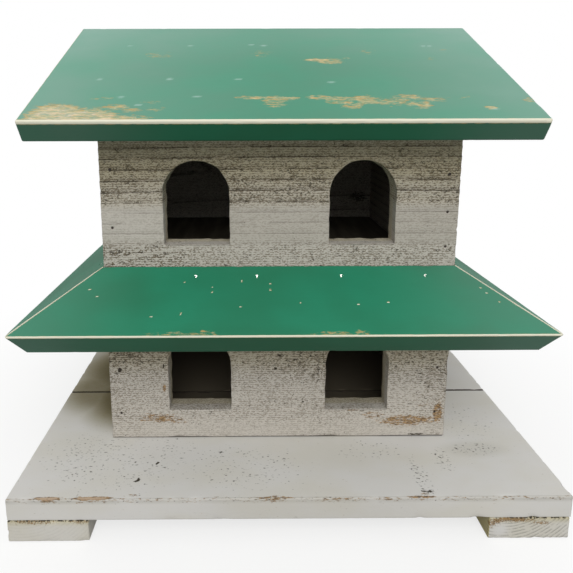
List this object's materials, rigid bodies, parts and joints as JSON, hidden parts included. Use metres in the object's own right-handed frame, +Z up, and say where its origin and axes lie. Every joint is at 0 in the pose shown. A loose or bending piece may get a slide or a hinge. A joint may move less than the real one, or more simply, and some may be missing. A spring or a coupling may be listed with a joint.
{
  "type": "purple martin birdhouse",
  "caption": "Two-storey wooden birdhouse with arched doorways, a mitred skirt roof, a gable roof and a planked porch base on cleats.",
  "frame": {"origin": "on the ground, at the middle of the base's underside", "axes": "+Z up, the front with the doorways faces -Y, +X to the right seen from the front"},
  "size_m": [0.449, 0.373, 0.4262],
  "materials": {
    "white_paint": "distressed white paint on rough-sawn boards",
    "green_paint": "worn green paint on planed boards",
    "bare_wood": "unpainted, aged",
    "nail_steel": "dull, weathered"
  },
  "bodies": {
    "root": {"base_plank_front": "white_paint", "base_plank_middle": "white_paint", "base_plank_rear": "white_paint", "cleat_left": "white_paint", "cleat_right": "white_paint", "lower_front_wall": "white_paint", "lower_back_wall": "white_paint", "lower_left_wall": "white_paint", "lower_right_wall": "white_paint", "lower_partition": "bare_wood", "middle_floor": "bare_wood", "skirt_front": "green_paint", "skirt_right": "green_paint", "skirt_back": "green_paint", "skirt_left": "green_paint", "upper_front_wall": "white_paint", "upper_back_wall": "white_paint", "upper_left_wall": "white_paint", "upper_right_wall": "white_paint", "upper_partition": "bare_wood", "roof_front": "green_paint", "roof_back": "green_paint", "base_nails": "nail_steel", "foot_nails": "nail_steel", "lower_wall_nails": "nail_steel", "upper_wall_nails": "nail_steel", "skirt_nails": "nail_steel", "roof_nails": "nail_steel"}
  },
  "joints": []
}
